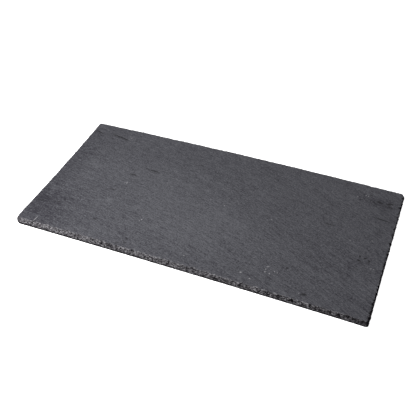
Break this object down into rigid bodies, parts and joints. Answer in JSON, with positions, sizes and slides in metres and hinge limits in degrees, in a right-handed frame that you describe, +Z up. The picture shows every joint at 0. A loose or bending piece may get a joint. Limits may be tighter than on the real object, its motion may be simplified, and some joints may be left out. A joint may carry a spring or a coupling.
{
  "type": "slate slab",
  "caption": "Rectangular slab of riven slate with hand-knapped edges, lying flat, for use as a board, tray or tile.",
  "frame": {"origin": "middle of the flat underside, where the slab rests", "axes": "+X along the long side, +Y along the short side, away from the picture's viewer, +Z up through the thickness"},
  "size_m": [0.4, 0.2006, 0.0061],
  "materials": {
    "slate": "riven, dull with a faint sheen"
  },
  "bodies": {
    "root": {"slab": "slate"}
  },
  "joints": []
}
